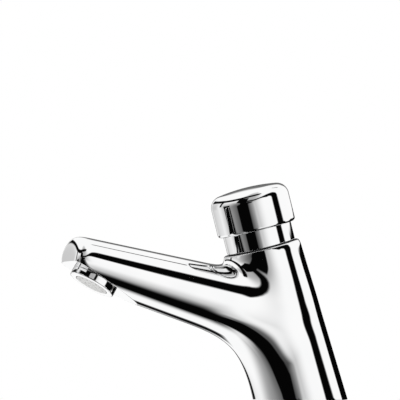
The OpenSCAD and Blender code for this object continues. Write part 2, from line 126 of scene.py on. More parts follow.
# Button and collar
BUTTON_R = 21.45
BUTTON_H = 23.2
DOME_R = 96.0
BUTTON_ROUND = 6.5
NECK_R = 18.75
NECK_H = 10.35
STROKE = 7.0
SLIDE_GAP = 0.3
SKIRT_GAP = 0.4
SKIRT_EDGE = 1.6
CROWN_T = 6.15
BOSS_R = 6.0
BOSS_H = 7.9
BOSS_HOLE_IN = 0.6
STEM_R = 3.0
COLLAR_BORE_R = 12.5
COLLAR_GASKET_T = 0.8
COLLAR_GASKET_R = (16.2, 18.2)
COLLAR_SPIGOT_GAP = 3.0
COLLAR_SLOT_W = 5.0
COLLAR_SLOT_H = 3.0
GUIDE_DOWN = 6.5
GUIDE_H = 3.0
GUIDE_ROOT_R = 17.6
SKIRT_R = NECK_R + SKIRT_GAP
STEM_HOLE_R = STEM_R + AIR
BUTTON_S = RIM_S + NECK_H
BUTTON_TOP = BUTTON_S + BUTTON_H
BUTTON_CEILING = BUTTON_TOP - CROWN_T
BOSS_S = BUTTON_CEILING - BOSS_H
BOSS_HOLE_TOP = BUTTON_CEILING + BOSS_HOLE_IN
COLLAR_TOP = BUTTON_CEILING - STROKE - SLIDE_GAP
COLLAR_SPIGOT_S = RIM_S - HEAD_DEPTH + COLLAR_SPIGOT_GAP
GUIDE_S = COLLAR_TOP - GUIDE_DOWN
# Roundings of the collar's corners, from the spigot's foot outwards and up to the bore
COLLAR_EDGES = [0.4, 0.4, 0.1, 0.25, 0.2, 0.1, 0.1, 0.2, 0.4, 0.4]

# Tail and deck fixings
TAIL_R = 10.478
TAIL_LEN = 56.0
TAIL_SEAL_T = 1.5
TAIL_TOP = TAIL_HOLE - TAIL_SEAL_T
TAIL_BORE_R = 7.0
TAIL_CHAMFER = 1.0
TAIL_RELIEF_R = 9.4
TAIL_RELIEF_H = 2.0
TAIL_RELIEF_GAP = 1.0
STRAINER_R = 8.55
STRAINER_H = 1.5
THREAD_PITCH = 1.814
THREAD_DEPTH = 1.0
THREAD_SLOPE = 1.5
THREAD_FLAT = 0.25
THREAD_TOP = 0.0
THREAD_STEP = 0.02
DECK_T = 20.0
GASKET_T = 3.0
GASKET_R = 19.0
WASHER_T = 2.0
WASHER_R = 19.5
WASHER_BORE_R = 10.8
NUT_H = 9.0
NUT_AF = 30.0
NUT_ROUND_R = 16.6
NUT_CHAMFER = 0.4
NUT_SLOPE = math.sqrt(3)
NUT_S = -DECK_T - GASKET_T - WASHER_T - NUT_H

# Aerator, measured from the spot face outwards
AERATOR_R = 12.5
AERATOR_H = 3.9
HOUSING_THREAD_R = SOCKET_R - AIR
HOUSING_THREAD_IN = 7.5
HOUSING_BORE_R = 9.6
HOUSING_LIP_R = 8.8
HOUSING_LIP_T = 1.2
HOUSING_LIP_S = AERATOR_H - HOUSING_LIP_T
# Roundings of the housing's corners, from the thread's foot outwards and back to the bore
HOUSING_EDGES = [0.2, 0.3, 0.1, 0.35, 0.6, 0.35, 0.1, 0.1]
INSERT_R = 9.5
INSERT_S = -2.0
INSERT_GAP = 0.2
INSERT_FACE_R = HOUSING_LIP_R - INSERT_GAP
INSERT_OUT = 0.5
INSERT_GROOVES = 5
INSERT_GROOVE_H = 0.10
# Each ring of holes by its radius and their number
INSERT_HOLES = ((3.4, 8), (6.9, 16))
INSERT_HOLE_R = 0.6

# Return spring
WIRE_R = 0.65
SPRING_R = 7.6
SPRING_TURNS = 5.5
SPRING_END_PITCH = 1.8
SPRING_FLOOR = 38.2
SPRING_CEILING = 55.0

# Fineness of the meshes: steps round, sides and rows
CHROME_STEPS = 256
RING_STEPS = 192
SEAL_STEPS = 160
BORE_STEPS = 96
HOLE_SIDES = 20
WIRE_SIDES = 14
TURN_STEPS = 40
THREAD_ROWS = 420
NUT_ROWS = 40
FACE_ROWS = 60
DOME_STEPS = 24
ROUND_STEPS = 40
SKIRT_STEPS = 12
EDGE_STEPS = 8

# How far a cutter runs past what it cuts
CUT_OVER = 1.0


# Directions and places of the frames
def turned(degrees):
    return Matrix.Rotation(math.radians(degrees), 4, "Y")


ON_AXIS = turned(-LEAN)
ON_OUTLET = Matrix.Translation((-OUTLET_X, 0, OUTLET_Z)) @ turned(180 + OUTLET_TILT)
ON_SPOUT = Matrix.Translation((-SPOUT_X, 0, SPOUT_Z)) @ turned(SPOUT_RISE - 90)
UPRIGHT = Matrix.Identity(4)
AXIS = np.array([-math.sin(math.radians(LEAN)), 0, math.cos(math.radians(LEAN))])
SPOUT_D = np.array([-math.cos(math.radians(SPOUT_RISE)), 0, math.sin(math.radians(SPOUT_RISE))])
SPOUT_V = np.array([math.sin(math.radians(SPOUT_RISE)), 0, math.cos(math.radians(SPOUT_RISE))])
SPOUT_O = np.array([-SPOUT_X, 0, SPOUT_Z])
NOSE_N = np.array([-math.cos(math.radians(NOSE_TILT)), 0, math.sin(math.radians(NOSE_TILT))])
NOSE_O = np.array([-NOSE_X, 0, OUTLET_Z + NOSE_RISE])
OUTLET_O = np.array([-OUTLET_X, 0, OUTLET_Z])
OUTLET_N = np.array(ON_OUTLET.to_3x3() @ Vector((0, 0, 1)))


# Blended distance functions of the casting, for arrays of points
def ease(x):
    c = np.clip(x, 0, 1)
    return c * c * c * (c * (6 * c - 15) + 10)


def smooth_min(a, b, k):
    h = np.maximum(k - np.abs(a - b), 0) / k
    return np.minimum(a, b) - h * h * h * k / 6


def rim_roll(s, facing):
    """How far the barrel draws in below its rim; facing is 1 away from the spout and -1 towards it"""
    drawn = np.maximum(s - RIM_S + ROLL_H, 0) ** 2 / (2 * ROLL_R)
    return drawn * ease((facing - ROLL_FROM) / ROLL_SPAN)


def barrel_at(p):
    q = p - np.array([BARREL_X, 0, 0])
    s = q @ AXIS
    out = q - s[:, None] * AXIS
    far = np.linalg.norm(out, axis=1)
    radius = BASE_R + (RIM_R - BASE_R) * s / RIM_S - rim_roll(s, out[:, 0] / (far + TINY))
    return np.maximum(far - radius, s - RIM_S - SKIN_OVER)


def spout_at(p, u, v):
    part = u / SPOUT_LEN
    h = ROOT_H + (TIP_H - ROOT_H) * part
    w = ROOT_W + (TIP_W - ROOT_W) * part
    y = np.abs(p[:, 1]) + TINY
    z = np.abs(v) + TINY
    n = SPOUT_POWER
    k = ((y / w) ** n + (z / h) ** n) ** (1 / n)
    slope = k ** (1 - n) * np.hypot(y ** (n - 1) / w ** n, z ** (n - 1) / h ** n)
    nose = (p - NOSE_O) @ NOSE_N
    back = np.maximum(ROOT_FROM - u, 0)
    return -smooth_min(-(k - 1) / slope, -nose, NOSE_BLEND) + back ** 3 / (3 * ROOT_DRAW ** 2)


def skin_at(p):
    q = p - SPOUT_O
    u = q @ SPOUT_D
    v = q @ SPOUT_V
    mid = UNDER_BLEND + (TOP_BLEND - UNDER_BLEND) * ease((v - BLEND_FROM) / BLEND_SPAN)
    k = mid + (SIDE_BLEND - mid) * ease((np.abs(p[:, 1]) - SIDE_FROM) / SIDE_SPAN)
    return np.maximum(smooth_min(barrel_at(p), spout_at(p, u, v), k), -p[:, 2] - SKIN_OVER)


def skin_normal(p):
    step = 0.05
    parts = [skin_at(p + step * e) - skin_at(p - step * e) for e in np.eye(3)]
    n = np.stack(parts, 1)
    return n / np.linalg.norm(n, axis=1, keepdims=True)


# Skin of the casting: rays from the spout's axis, run past the rim and the deck
RAY_HUB = -6.0
RAY_LIFT = 34.0
LIFT_SPAN = 50.0
RAY_TIP = 100.0
RAY_FAR = 90.0
RAY_STEPS = 32
ROOT_ANGLE = 28.0
RING_CROWD = 1.4
NOSE_RINGS = 40
SPOUT_RINGS = 64
BARREL_RINGS = 170
AROUND = 208


def ray_rings():
    nose = [(RAY_TIP, 90 * i / NOSE_RINGS) for i in range(NOSE_RINGS + 1)]
    spout = []
    for i in range(1, SPOUT_RINGS + 1):
        part = i / SPOUT_RINGS
        spout.append((RAY_TIP + (RAY_HUB - RAY_TIP) * part, 90 + (ROOT_ANGLE - 90) * part))
    barrel = []
    for i in range(1, BARREL_RINGS + 1):
        barrel.append((RAY_HUB, ROOT_ANGLE + (180 - ROOT_ANGLE) * (i / BARREL_RINGS) ** RING_CROWD))
    return np.array(nose + spout + barrel)


def skin_points(rings):
    """A ring of points for each row of rings; the first and last ring are one point each"""
    turn = 2 * np.pi * np.arange(AROUND) / AROUND
    across = np.cos(turn)[:, None] * SPOUT_V + np.sin(turn)[:, None] * np.array([0, 1, 0])
    angle = np.radians(rings[:, 1])
    d = np.cos(angle)[:, None, None] * SPOUT_D + np.sin(angle)[:, None, None] * across[None]
    in_barrel = rings[:, 0] == RAY_HUB
    lift = np.where(in_barrel, RAY_LIFT * ease((rings[:, 1] - ROOT_ANGLE) / LIFT_SPAN), 0)
    start = SPOUT_O + rings[:, 0][:, None, None] * SPOUT_D
    start = start + (lift[:, None] * (d @ AXIS))[:, :, None] * AXIS
    d = d.reshape(-1, 3)
    start = start.reshape(-1, 3)
    low = np.zeros(len(d))
    high = np.full(len(d), RAY_FAR)
    for _ in range(RAY_STEPS):
        middle = (low + high) / 2
        inside = skin_at(start + middle[:, None] * d) < 0
        low = np.where(inside, middle, low)
        high = np.where(inside, high, middle)
    return (start + low[:, None] * d).reshape(len(rings), AROUND, 3)


def skin_mesh():
    points = skin_points(ray_rings())
    count = len(points)
    bm = bmesh.new()
    first = bm.verts.new(points[0, 0])
    rows = [[bm.verts.new(p) for p in row] for row in points[1:-1]]
    last = bm.verts.new(points[-1, 0])
    for j in range(AROUND):
        k = (j + 1) % AROUND
        bm.faces.new((first, rows[0][k], rows[0][j]))
        bm.faces.new((last, rows[-1][j], rows[-1][k]))
        for i in range(count - 3):
            bm.faces.new((rows[i][j], rows[i][k], rows[i + 1][k], rows[i + 1][j]))
    return bm


def plane_frame(normal):
    """Two directions across a plane"""
    side = np.array([0.0, 1.0, 0.0])
    return np.cross(side, normal), side


def cut_loop(bm, centre, normal, near):
    """Cuts the skin by a plane where near holds, drops what is outside and returns the loop in order"""
    chosen = {v for v in bm.verts if near(v.co)}
    faces = [f for f in bm.faces if all(v in chosen for v in f.verts)]
    edges = {e for f in faces for e in f.edges}
    verts = {v for f in faces for v in f.verts}
    done = bmesh.ops.bisect_plane(
        bm, geom=list(verts) + list(edges) + faces, dist=1e-5,
        plane_co=Vector(centre), plane_no=Vector(normal), clear_outer=True)
    loop = [g for g in done["geom_cut"] if isinstance(g, bmesh.types.BMVert)]
    a, b = plane_frame(normal)
    def turn(v):
        q = np.array(v.co) - centre
        return math.atan2(q @ b, q @ a)
    return sorted(loop, key=turn)


def close_loop(bm, loop, centre, normal, depth, steps):
    """Rounds the edge from the loop up to the plane, depth above it, then follows the bore's steps inwards.
    A step is a radius about the centre and a height above the plane."""
    a, b = plane_frame(normal)
    top = centre + depth * normal
    points = np.array([v.co for v in loop])
    n = skin_normal(points)
    lean = n @ normal
    radius = np.minimum(depth / (1 - lean), MOST_EDGE)[:, None]
    bend = np.arccos(lean)[:, None]
    rings = [loop]
    for i in range(1, EDGE_STEPS + 1):
        t = i / EDGE_STEPS
        across = (np.sin((1 - t) * bend) * n + np.sin(t * bend) * normal) / np.sin(bend)
        rings.append([bm.verts.new(p) for p in points - radius * n + radius * across])
    turn = np.arctan2((points - centre) @ b, (points - centre) @ a)
    out = np.cos(turn)[:, None] * a + np.sin(turn)[:, None] * b
    for r, height in steps:
        rings.append([bm.verts.new(p) for p in top + r * out + height * normal])
    count = len(loop)
    for low, high in zip(rings, rings[1:]):
        for j in range(count):
            k = (j + 1) % count
            bm.faces.new((low[j], low[k], high[k], high[j]))
    middle = bm.verts.new(top + steps[-1][1] * normal)
    for j in range(count):
        bm.faces.new((rings[-1][j], rings[-1][(j + 1) % count], middle))


# Making objects
def add_object(name, data):
    obj = bpy.data.objects.new(name, data)
    bpy.context.scene.collection.objects.link(obj)
    return obj


def put(name, mesh, body, slot, nodes):
    """A piece of the tap in the place of its nodes"""
    obj = add_object(name, mesh)
    obj.data.materials.append(MATERIALS[slot])
    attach(obj, body)
    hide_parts(*nodes)
    return obj


def finish_mesh(name, bm, place, sharp=32):
    """Turns a mesh in millimetres into one in metres, in its place, smooth apart from its edges"""
    bmesh.ops.recalc_face_normals(bm, faces=bm.faces)
    mesh = bpy.data.meshes.new(name)
    bm.to_mesh(mesh)
    bm.free()
    mesh.transform(Matrix.Scale(MM, 4) @ place)
    mesh.shade_smooth()
    mesh.set_sharp_from_angle(angle=math.radians(sharp))
    return mesh


def rounded(points, radii, steps=6):
    """A closed outline with its corners rounded"""
    if np.isscalar(radii):
        radii = [radii] * len(points)
    done = []
    count = len(points)
    for i, r in enumerate(radii):
        corner = np.array(points[i], float)
        back = np.array(points[i - 1], float) - corner
        ahead = np.array(points[(i + 1) % count], float) - corner
        if r == 0:
            done.append(tuple(corner))
            continue
        back_d = back / np.linalg.norm(back)
        ahead_d = ahead / np.linalg.norm(ahead)
        half = math.acos(np.clip(back_d @ ahead_d, -1, 1)) / 2
        centre = corner + (back_d + ahead_d) / np.linalg.norm(back_d + ahead_d) * r / math.sin(half)
        start = corner + back_d * r / math.tan(half) - centre
        end = corner + ahead_d * r / math.tan(half) - centre
        sweep = math.atan2(start[0] * end[1] - start[1] * end[0], start @ end)
        for k in range(steps + 1):
            t = sweep * k / steps
            done.append((
                centre[0] + start[0] * math.cos(t) - start[1] * math.sin(t),
                centre[1] + start[0] * math.sin(t) + start[1] * math.cos(t)))
    return done


def supported(outline, near=0.12):
    """Adds points close to both ends of each long straight stretch, so that it shades flat"""
    done = []
    for p, q in zip(outline, list(outline[1:]) + [outline[0]]):
        done.append(p)
        length = math.dist(p, q)
        if length > 8 * near:
            for t in (near / length, 1 - near / length):
                done.append((p[0] + (q[0] - p[0]) * t, p[1] + (q[1] - p[1]) * t))
    return done


def arc(r0, z0, r, a0, a1, steps):
    turns = [math.radians(a0 + (a1 - a0) * i / steps) for i in range(steps + 1)]
    return [(r0 + r * math.cos(t), z0 + r * math.sin(t)) for t in turns]


def lathe(outline, steps):
    """A closed outline of radius and height turned about the axis"""
    bm = bmesh.new()
    rings = []
    for r, z in outline:
        if r < TINY:
            rings.append([bm.verts.new((0, 0, z))])
            continue
        turns = [2 * math.pi * j / steps for j in range(steps)]
        rings.append([bm.verts.new((r * math.cos(t), r * math.sin(t), z)) for t in turns])
    for low, high in zip(rings, rings[1:] + rings[:1]):
        for j in range(steps):
            k = (j + 1) % steps
            corners = [low[j % len(low)], low[k % len(low)], high[k % len(high)], high[j % len(high)]]
            corners = list(dict.fromkeys(corners))
            if len(corners) > 2:
                bm.faces.new(corners)
    return bm


def ring_outline(r0, r1, z0, z1, edge):
    return supported(rounded([(r0, z0), (r1, z0), (r1, z1), (r0, z1)], edge))


def turned_grid(heights, radius_at, bore_r, steps):
    """A bored piece whose radius changes round and along it; heights is a list from low to high"""
    turns = np.arange(steps) * 2 * np.pi / steps
    bm = bmesh.new()
    rings = []
    for z in heights:
        r = radius_at(turns, z)
        rings.append([bm.verts.new((q * math.cos(t), q * math.sin(t), z)) for q, t in zip(r, turns)])
    for z in (heights[-1], heights[0]):
        rings.append([bm.verts.new((bore_r * math.cos(t), bore_r * math.sin(t), z)) for t in turns])
    for low, high in zip(rings, rings[1:] + rings[:1]):
        for j in range(steps):
            k = (j + 1) % steps
            bm.faces.new((low[j], low[k], high[k], high[j]))
    return bm


def add_cone(bm, r0, r1, z0, z1, sides, x=0, y=0):
    """Adds a closed cone or cylinder that stands between two heights"""
    bmesh.ops.create_cone(
        bm, cap_ends=True, segments=sides, radius1=r0, radius2=r1, depth=z1 - z0,
        matrix=Matrix.Translation((x, y, (z0 + z1) / 2)))


def cut_away(obj, bm, place):
    """Takes a closed mesh in millimetres out of an object"""
    cutter = add_object("cutter", finish_mesh("cutter", bm, place))
    cutting = obj.modifiers.new("cut", "BOOLEAN")
    cutting.operation = "DIFFERENCE"
    cutting.solver = "EXACT"
    cutting.object = cutter
    shaped = bpy.data.meshes.new_from_object(obj.evaluated_get(bpy.context.evaluated_depsgraph_get()))
    obj.modifiers.clear()
    obj.data = shaped
    bpy.data.objects.remove(cutter)


# Materials
NOISE_DETAIL = 4
TONES_FROM = 0.3
TONES_TO = 0.7


def node_material(name):
    material = bpy.data.materials.new(name)
    material.use_nodes = True
    return material, material.node_tree.nodes, material.node_tree.links


def tone_material(slot, low, high, metallic, rough, grain, stretch=(1, 1, 1), bump=0.0):
    """Two tones and two roughnesses spread by noise, with fine bump; grain is the noise's size in metres"""
    material, nodes, links = node_material(slot)
    shader = nodes["Principled BSDF"]
    shader.inputs["Metallic"].default_value = metallic
    place = nodes.new("ShaderNodeTexCoord")
    stretched = nodes.new("ShaderNodeMapping")
    stretched.inputs["Scale"].default_value = stretch
    links.new(place.outputs["Object"], stretched.inputs["Vector"])
    noise = nodes.new("ShaderNodeTexNoise")
    noise.inputs["Scale"].default_value = 1 / grain
    noise.inputs["Detail"].default_value = NOISE_DETAIL
    links.new(stretched.outputs["Vector"], noise.inputs["Vector"])
    tones = nodes.new("ShaderNodeValToRGB")
    for stop, position, tone in zip(tones.color_ramp.elements, (TONES_FROM, TONES_TO), (low, high)):
        stop.position = position
        stop.color = (*tone, 1)
    links.new(noise.outputs["Fac"], tones.inputs["Fac"])
    links.new(tones.outputs["Color"], shader.inputs["Base Color"])
    spread = nodes.new("ShaderNodeMapRange")
    spread.inputs["To Min"].default_value = rough[0]
    spread.inputs["To Max"].default_value = rough[1]
    links.new(noise.outputs["Fac"], spread.inputs["Value"])
    links.new(spread.outputs["Result"], shader.inputs["Roughness"])
    if bump > 0:
        relief = nodes.new("ShaderNodeBump")
        relief.inputs["Strength"].default_value = bump
        relief.inputs["Distance"].default_value = grain
        links.new(noise.outputs["Fac"], relief.inputs["Height"])
        links.new(relief.outputs["Normal"], shader.inputs["Normal"])
    return material


# Look of each slot, by the names that tone_material gives its values
LOOKS = {
    "chrome": dict(
        low=(0.93, 0.935, 0.94), high=(0.965, 0.965, 0.965), metallic=1, rough=(0.012, 0.03), grain=0.02),
    "brass": dict(
        low=(0.66, 0.47, 0.20), high=(0.80, 0.62, 0.31), metallic=1, rough=(0.22, 0.36), grain=0.0012,
        stretch=(1, 1, 9), bump=0.06),
    "steel": dict(
        low=(0.50, 0.51, 0.53), high=(0.66, 0.67, 0.68), metallic=1, rough=(0.22, 0.38), grain=0.0015,
        stretch=(1, 1, 8), bump=0.05),
    "black_rubber": dict(
        low=(0.012, 0.012, 0.013), high=(0.03, 0.03, 0.032), metallic=0, rough=(0.62, 0.8), grain=0.0006,
        bump=0.25),
    "red_rubber": dict(
        low=(0.17, 0.02, 0.016), high=(0.26, 0.035, 0.025), metallic=0, rough=(0.6, 0.78), grain=0.0008,
        bump=0.25),
    "white_plastic": dict(
        low=(0.72, 0.72, 0.71), high=(0.80, 0.80, 0.79), metallic=0, rough=(0.34, 0.48), grain=0.0011,
        bump=0.04),
    "blue_plastic": dict(
        low=(0.04, 0.11, 0.30), high=(0.07, 0.16, 0.38), metallic=0, rough=(0.25, 0.36), grain=0.0015,
        bump=0.03),
}
MATERIALS = {slot: tone_material(slot, **look) for slot, look in LOOKS.items()}


# Pieces
def near_rim(p):
    q = np.array(p)
    s = q @ AXIS
    return s > NEAR_RIM_S and np.linalg.norm(q - s * AXIS) < NEAR_RIM_R


def build_casting():
    bm = skin_mesh()
    down = np.array([0.0, 0.0, -1.0])
    tail_r = TAIL_R + AIR
    rim_steps = [
        (HEAD_R, 0), (HEAD_R, -HEAD_DEPTH), (MAIN_R, -HEAD_DEPTH), (MAIN_R, -MAIN_DEPTH),
        (NOSE_BORE_R, -MAIN_DEPTH), (NOSE_BORE_R, -NOSE_BORE_DEPTH),
        (CHAMBER_R, -NOSE_BORE_DEPTH), (CHAMBER_R, -CHAMBER_DEPTH)]
    base_steps = [
        (GROOVE_RO, 0), (GROOVE_RO, -GROOVE_H), (GROOVE_RI, -GROOVE_H), (GROOVE_RI, 0),
        (tail_r, 0), (tail_r, -TAIL_HOLE), (INLET_R, -TAIL_HOLE), (INLET_R, -INLET_STEP)]
    outlet_steps = [(SOCKET_R, 0), (SOCKET_R, -SOCKET_H)]
    loops = [
        (RIM_S * AXIS, AXIS, RIM_EDGE, near_rim, rim_steps),
        (np.zeros(3), down, BASE_EDGE, lambda p: p[2] < NEAR_DECK_Z, base_steps),
        (OUTLET_O, OUTLET_N, FLAT_EDGE, lambda p: p[0] < NEAR_OUTLET_X, outlet_steps),
    ]
    for centre, normal, depth, near, steps in loops:
        low = centre - depth * normal
        close_loop(bm, cut_loop(bm, low, normal, near), low, normal, depth, steps)
    casting = put("casting", finish_mesh("casting", bm, UPRIGHT), "tap", "chrome", ["body"])
    inlet_r = INLET_R - AIR
    inlet = (inlet_r, inlet_r, INLET_STEP - CUT_OVER, INLET_TOP)
    for place, sizes in ((UPRIGHT, inlet), (ON_SPOUT, WAY_R + WAY_U)):
        way = bmesh.new()
        add_cone(way, *sizes, BORE_STEPS)
        cut_away(casting, way, place)


def build_button():
    dome_z = BUTTON_TOP - DOME_R
    round_r = BUTTON_R - BUTTON_ROUND
    round_z = dome_z + math.sqrt((DOME_R - BUTTON_ROUND) ** 2 - round_r ** 2)
    round_a = math.degrees(math.atan2(round_z - dome_z, round_r))
    outline = [(SKIRT_R, BUTTON_S)]
    outline += arc(BUTTON_R - SKIRT_EDGE, BUTTON_S + SKIRT_EDGE, SKIRT_EDGE, -90, 0, SKIRT_STEPS)
    outline += arc(round_r, round_z, BUTTON_ROUND, 0, round_a, ROUND_STEPS)
    outline += arc(0, dome_z, DOME_R, round_a, 90, DOME_STEPS)[1:-1]
    outline += [
        (0, BUTTON_TOP), (0, BOSS_HOLE_TOP), (STEM_HOLE_R, BOSS_HOLE_TOP), (STEM_HOLE_R, BOSS_S),
        (BOSS_R, BOSS_S), (BOSS_R, BUTTON_CEILING), (SKIRT_R, BUTTON_CEILING)]
    mesh = finish_mesh("button_cap", lathe(supported(outline), CHROME_STEPS), ON_AXIS)
    put("button_cap", mesh, "plunger", "chrome", ["push_button"])


def build_collar():
    low = RIM_S + COLLAR_GASKET_T
    spigot_r = HEAD_R - AIR
    outline = rounded([
        (COLLAR_BORE_R, COLLAR_SPIGOT_S), (spigot_r, COLLAR_SPIGOT_S), (spigot_r, low), (NECK_R, low),
        (NECK_R, GUIDE_S), (GUIDE_ROOT_R, GUIDE_S), (GUIDE_ROOT_R, GUIDE_S + GUIDE_H),
        (NECK_R, GUIDE_S + GUIDE_H), (NECK_R, COLLAR_TOP), (COLLAR_BORE_R, COLLAR_TOP),
    ], COLLAR_EDGES)
    mesh = finish_mesh("neck_collar", lathe(supported(outline), CHROME_STEPS), ON_AXIS)
    collar = put("neck_collar", mesh, "tap", "chrome", ["collar"])
    slot = bmesh.new()
    bmesh.ops.create_cube(slot, size=1)
    size = Matrix.Diagonal((4 * NECK_R, COLLAR_SLOT_W, 2 * COLLAR_SLOT_H, 1))
    cut_away(collar, slot, ON_AXIS @ Matrix.Translation((0, 0, COLLAR_TOP)) @ size)


def build_aerator_ring():
    outline = rounded([
        (HOUSING_BORE_R, -HOUSING_THREAD_IN), (HOUSING_THREAD_R, -HOUSING_THREAD_IN), (HOUSING_THREAD_R, 0),
        (AERATOR_R, 0), (AERATOR_R, AERATOR_H), (HOUSING_LIP_R, AERATOR_H),
        (HOUSING_LIP_R, HOUSING_LIP_S), (HOUSING_BORE_R, HOUSING_LIP_S),
    ], HOUSING_EDGES, steps=EDGE_STEPS)
    mesh = finish_mesh("aerator_ring", lathe(supported(outline, near=0.08), RING_STEPS), ON_OUTLET)
    put("aerator_ring", mesh, "tap", "chrome", ["aerator_housing"])


def build_aerator_face():
    """A shallow dome with ring grooves and rings of holes"""
    lip = HOUSING_LIP_S - AIR
    outline = [(0, INSERT_S), (INSERT_R, INSERT_S), (INSERT_R, lip), (INSERT_FACE_R, lip)]
    for i in range(FACE_ROWS + 1):
        part = i / FACE_ROWS
        dome = INSERT_OUT * (1 - (1 - part) ** 2)
        groove = INSERT_GROOVE_H * (0.5 - 0.5 * math.cos(2 * math.pi * INSERT_GROOVES * part))
        outline.append((INSERT_FACE_R * (1 - part), AERATOR_H + dome - groove))
    mesh = finish_mesh("aerator_face", lathe(outline, RING_STEPS), ON_OUTLET, sharp=50)
    insert = put("aerator_face", mesh, "tap", "white_plastic", ["aerator_insert"])
    low = INSERT_S - CUT_OVER
    high = AERATOR_H + INSERT_OUT + CUT_OVER
    holes = bmesh.new()
    for at, count in INSERT_HOLES:
        for i in range(count):
            turn = 2 * math.pi * i / count
            x = at * math.cos(turn)
            y = at * math.sin(turn)
            add_cone(holes, INSERT_HOLE_R, INSERT_HOLE_R, low, high, HOLE_SIDES, x, y)
    cut_away(insert, holes, ON_OUTLET)


def build_spring():
    rings = int(SPRING_TURNS * TURN_STEPS)
    sides = WIRE_SIDES
    low = SPRING_FLOOR + WIRE_R + AIR
    high = SPRING_CEILING - WIRE_R - AIR
    bm = bmesh.new()
    rows = []
    for i in range(rings + 1):
        turns = SPRING_TURNS * i / rings
        if turns < 1:
            z = low + turns * SPRING_END_PITCH
        elif turns > SPRING_TURNS - 1:
            z = high - (SPRING_TURNS - turns) * SPRING_END_PITCH
        else:
            rise = high - low - 2 * SPRING_END_PITCH
            z = low + SPRING_END_PITCH + (turns - 1) / (SPRING_TURNS - 2) * rise
        a = 2 * math.pi * turns
        row = []
        for k in range(sides):
            b = 2 * math.pi * k / sides
            r = SPRING_R + WIRE_R * math.cos(b)
            row.append(bm.verts.new((r * math.cos(a), r * math.sin(a), z + WIRE_R * math.sin(b))))
        rows.append(row)
    for first, second in zip(rows, rows[1:]):
        for k in range(sides):
            m = (k + 1) % sides
            bm.faces.new((first[k], first[m], second[m], second[k]))
    bm.faces.new(rows[0])
    bm.faces.new(rows[-1])
    spring = put("coil_spring", finish_mesh("coil_spring", bm, ON_AXIS), "tap", "steel", ["return_spring"])
    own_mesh(spring)


def tail_radius(turns, z):
    """Helical thread up to THREAD_TOP, with a relief under the nut and a chamfer at the low end"""
    relief = NUT_S - TAIL_RELIEF_GAP - TAIL_RELIEF_H
    wave = (z / THREAD_PITCH - turns / (2 * np.pi)) % 1
    r = TAIL_R - THREAD_DEPTH * np.clip(np.abs(2 * wave - 1) * THREAD_SLOPE - THREAD_FLAT, 0, 1)
    if z > THREAD_TOP:
        r = np.full_like(turns, TAIL_R)
    if relief <= z <= relief + TAIL_RELIEF_H:
        r = np.full_like(turns, TAIL_RELIEF_R)
    return np.minimum(r, TAIL_R - TAIL_CHAMFER + (z + TAIL_LEN))


def build_tail():
    thread_h = TAIL_LEN + THREAD_TOP
    heights = [-TAIL_LEN + thread_h * i / THREAD_ROWS for i in range(THREAD_ROWS + 1)]
    heights += [THREAD_TOP + THREAD_STEP, TAIL_TOP]
    bm = turned_grid(heights, tail_radius, TAIL_BORE_R, BORE_STEPS)
    mesh = finish_mesh("threaded_tail", bm, UPRIGHT, sharp=40)
    tail = put("threaded_tail", mesh, "tap", "brass", ["tail"])
    low = -TAIL_LEN - CUT_OVER
    high = -TAIL_LEN + STRAINER_H
    mouth = lathe([(0, low), (STRAINER_R, low), (STRAINER_R, high), (0, high)], BORE_STEPS)
    cut_away(tail, mouth, UPRIGHT)


def nut_radius(turns, z):
    """Hexagon with rounded corners, chamfered at both ends"""
    hexagon = NUT_AF / 2 / np.cos((turns % (np.pi / 3)) - np.pi / 6)
    end = min(z - NUT_S, NUT_S + NUT_H - z)
    chamfer = NUT_AF / 2 - NUT_CHAMFER + end * NUT_SLOPE
    return np.minimum(np.minimum(hexagon, chamfer), NUT_ROUND_R)


def build_back_nut():
    rises = [0.5 - 0.5 * math.cos(math.pi * i / NUT_ROWS) for i in range(NUT_ROWS + 1)]
    heights = [NUT_S + NUT_H * rise for rise in rises]
    bm = turned_grid(heights, nut_radius, TAIL_R + AIR, RING_STEPS)
    mesh = finish_mesh("clamp_nut", bm, UPRIGHT, sharp=25)
    put("clamp_nut", mesh, "tap", "brass", ["back_nut"])


def build_rings():
    washer_low = -DECK_T - GASKET_T - WASHER_T
    collar_gasket = (*COLLAR_GASKET_R, RIM_S, RIM_S + COLLAR_GASKET_T)
    guide = (GUIDE_ROOT_R + AIR, SKIRT_R - SLIDE_GAP, GUIDE_S + AIR, GUIDE_S + GUIDE_H - AIR)
    rings = [
        ("deck_seal", "base_seal", UPRIGHT, "black_rubber",
            (GROOVE_RI + AIR, GROOVE_RO - AIR, 0, GROOVE_H - AIR), 0.4),
        ("under_gasket", "clamp_gasket", UPRIGHT, "black_rubber",
            (WASHER_BORE_R, GASKET_R, -DECK_T - GASKET_T, -DECK_T), 0.6),
        ("under_washer", "clamp_washer", UPRIGHT, "steel",
            (WASHER_BORE_R, WASHER_R, washer_low, washer_low + WASHER_T), 0.4),
        ("rim_gasket", "collar_gasket", ON_AXIS, "black_rubber", collar_gasket, 0.25),
        ("skirt_guide", "guide_ring", ON_AXIS, "white_plastic", guide, 0.25),
    ]
    for name, node, place, slot, sizes, edge in rings:
        mesh = finish_mesh(name, lathe(ring_outline(*sizes, edge), SEAL_STEPS), place)
        put(name, mesh, "tap", slot, [node])


build_casting()
build_button()
build_collar()
build_aerator_ring()
build_aerator_face()
build_spring()
build_tail()
build_back_nut()
build_rings()

# Nodes that keep the solid model's shape take the finish of their slot
for part in frame["record"]["subparts"]:
    mesh = frame["nodes"][part["node"]].data
    mesh.materials.clear()
    mesh.materials.append(MATERIALS[part["material_slot"]])


